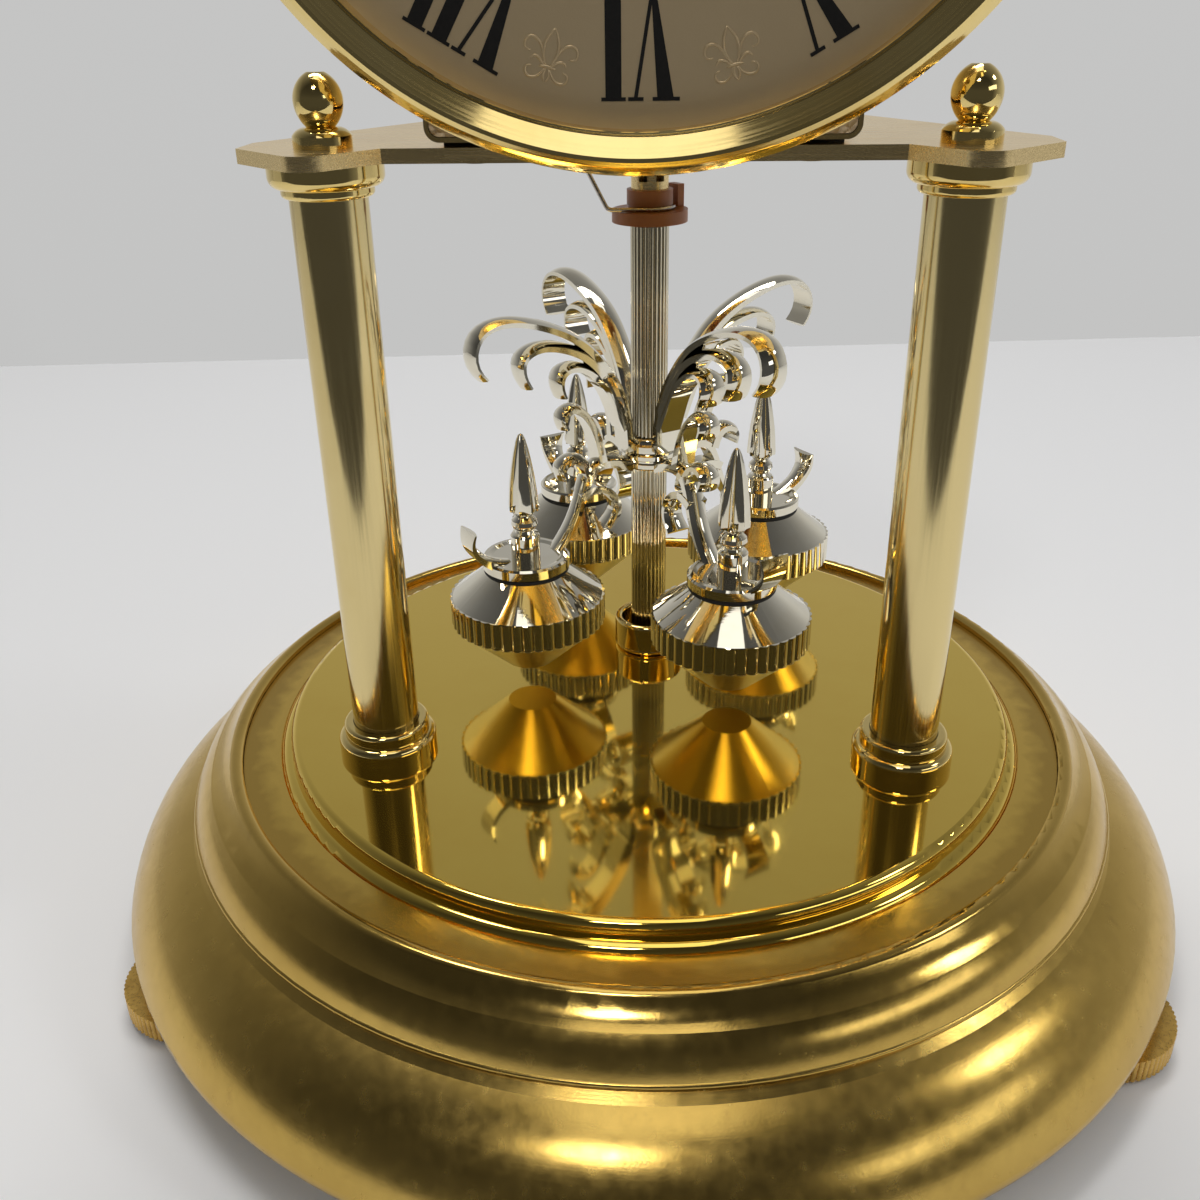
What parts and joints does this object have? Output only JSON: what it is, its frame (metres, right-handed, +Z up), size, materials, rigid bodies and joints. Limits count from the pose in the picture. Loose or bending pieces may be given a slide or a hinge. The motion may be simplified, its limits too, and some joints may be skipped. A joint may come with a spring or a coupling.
{
  "type": "torsion pendulum table clock",
  "caption": "Table clock with a turning pendulum: round dial on two brass columns, stepped spun base with a mirror plate and dome seat, scrolled pendulum with knurled weights.",
  "frame": {"origin": "centre of the base on the table", "axes": "+Z up, the dial faces -Y, +X to the viewer's right"},
  "size_m": [0.212, 0.215, 0.2742],
  "materials": {
    "satin_brass": "satin spun brass",
    "polished_brass": "polished brass",
    "silver_plate": "pale silver plate",
    "orange_plastic": "matt orange-brown",
    "black_plastic": "stippled black",
    "steel": "drawn steel",
    "dial_paint": "champagne satin",
    "black_paint": "black satin",
    "fibre_board": "pressed fibre board",
    "glide_felt": "dense brown felt",
    "gear_plastic": "natural moulding",
    "circuit_green": "green board",
    "magnet_grey": "sintered grey",
    "copper_winding": "lacquered copper",
    "washer_rubber": "black rubber"
  },
  "bodies": {
    "stand": {"base_bell": "satin_brass", "base_floor": "fibre_board", "bezel": "polished_brass", "bridge_plate": "polished_brass", "bridge_screws": "steel", "case_front_panel": "black_plastic", "case_pads": "black_plastic", "circuit_board": "circuit_green", "column_cap_left": "polished_brass", "column_cap_right": "polished_brass", "column_collar_left": "polished_brass", "column_collar_right": "polished_brass", "column_left": "polished_brass", "column_right": "polished_brass", "cover_screws": "steel", "deck_core": "fibre_board", "dial": "dial_paint", "dome_tray": "satin_brass", "drive_coil": "copper_winding", "finial_left": "polished_brass", "finial_right": "polished_brass", "foot_nuts": "steel", "guide_cup": "polished_brass", "hand_bush": "polished_brass", "hand_motor": "black_plastic", "mirror_plate": "polished_brass", "movement_case": "polished_brass", "rear_cover": "black_plastic", "suspension_bush": "gear_plastic", "suspension_tube": "polished_brass", "tie_nuts": "steel", "tie_rod_left": "steel", "tie_rod_right": "steel", "train_plate": "gear_plastic"},
    "pendulum": {"pendulum_rod": "silver_plate", "pendulum_spindle": "steel", "magnet_rotor": "magnet_grey", "frond_crown": "silver_plate", "arm_spider": "silver_plate", "weight_1": "silver_plate", "weight_2": "silver_plate", "weight_3": "silver_plate", "weight_4": "silver_plate", "weight_washers": "washer_rubber", "weight_finials": "silver_plate"},
    "minute_train": {"minute_hand": "black_paint", "cannon_pinion": "gear_plastic"},
    "hour_train": {"hour_hand": "black_paint", "hour_wheel": "gear_plastic"},
    "set_train": {"minute_wheel": "gear_plastic", "set_knob": "black_plastic"},
    "pendulum_lock": {"lock_sleeve": "orange_plastic", "lock_wire": "steel"},
    "door": {"battery_door": "black_plastic"},
    "foot_1": {"foot_glide_1": "glide_felt"},
    "levelling_wheel_1": {"foot_wheel_1": "satin_brass"},
    "foot_2": {"foot_glide_2": "glide_felt"},
    "levelling_wheel_2": {"foot_wheel_2": "satin_brass"},
    "foot_3": {"foot_glide_3": "glide_felt"},
    "levelling_wheel_3": {"foot_wheel_3": "satin_brass"}
  },
  "joints": [
    {"name": "pendulum_turn", "type": "hinge", "parent": "stand", "child": "pendulum", "pos_m": [0, 0.0192, 0.155], "axis": [0, 0, 1], "range_deg": [-180, 180]},
    {"name": "minute_turn", "type": "hinge", "parent": "stand", "child": "minute_train", "pos_m": [0, -0.0269, 0.2102], "axis": [0, 1, 0], "continuous": true},
    {"name": "hour_turn", "type": "hinge", "parent": "stand", "child": "hour_train", "pos_m": [0, -0.0269, 0.2102], "axis": [0, 1, 0], "continuous": true},
    {"name": "set_turn", "type": "hinge", "parent": "stand", "child": "set_train", "pos_m": [0, -0.0269, 0.2002], "axis": [0, 1, 0], "continuous": true},
    {"name": "lock_slide", "type": "slide", "parent": "stand", "child": "pendulum_lock", "axis": [0, 0, 1], "range_m": [-0.0022, 0]},
    {"name": "door_slide", "type": "slide", "parent": "stand", "child": "door", "axis": [1, 0, 0], "range_m": [0, 0.0535]},
    {"name": "foot_1_lift", "type": "slide", "parent": "stand", "child": "foot_1", "axis": [0, 0, 1], "range_m": [-0.0016, 0.0016]},
    {"name": "foot_1_turn", "type": "hinge", "parent": "foot_1", "child": "levelling_wheel_1", "pos_m": [0, 0.096, 0.0057], "axis": [0, 0, 1], "range_deg": [-720, 720]},
    {"name": "foot_2_lift", "type": "slide", "parent": "stand", "child": "foot_2", "axis": [0, 0, 1], "range_m": [-0.0016, 0.0016]},
    {"name": "foot_2_turn", "type": "hinge", "parent": "foot_2", "child": "levelling_wheel_2", "pos_m": [-0.08314, -0.048, 0.0057], "axis": [0, 0, 1], "range_deg": [-720, 720]},
    {"name": "foot_3_lift", "type": "slide", "parent": "stand", "child": "foot_3", "axis": [0, 0, 1], "range_m": [-0.0016, 0.0016]},
    {"name": "foot_3_turn", "type": "hinge", "parent": "foot_3", "child": "levelling_wheel_3", "pos_m": [0.08314, -0.048, 0.0057], "axis": [0, 0, 1], "range_deg": [-720, 720]}
  ],
  "couplings": [
    {"joint": "hour_turn", "follows": "minute_turn", "ratio": 0.083333},
    {"joint": "set_turn", "follows": "minute_turn", "ratio": -0.33333},
    {"joint": "foot_1_lift", "follows": "foot_1_turn", "m_per_rad": 0.00012732},
    {"joint": "foot_2_lift", "follows": "foot_2_turn", "m_per_rad": 0.00012732},
    {"joint": "foot_3_lift", "follows": "foot_3_turn", "m_per_rad": 0.00012732}
  ]
}
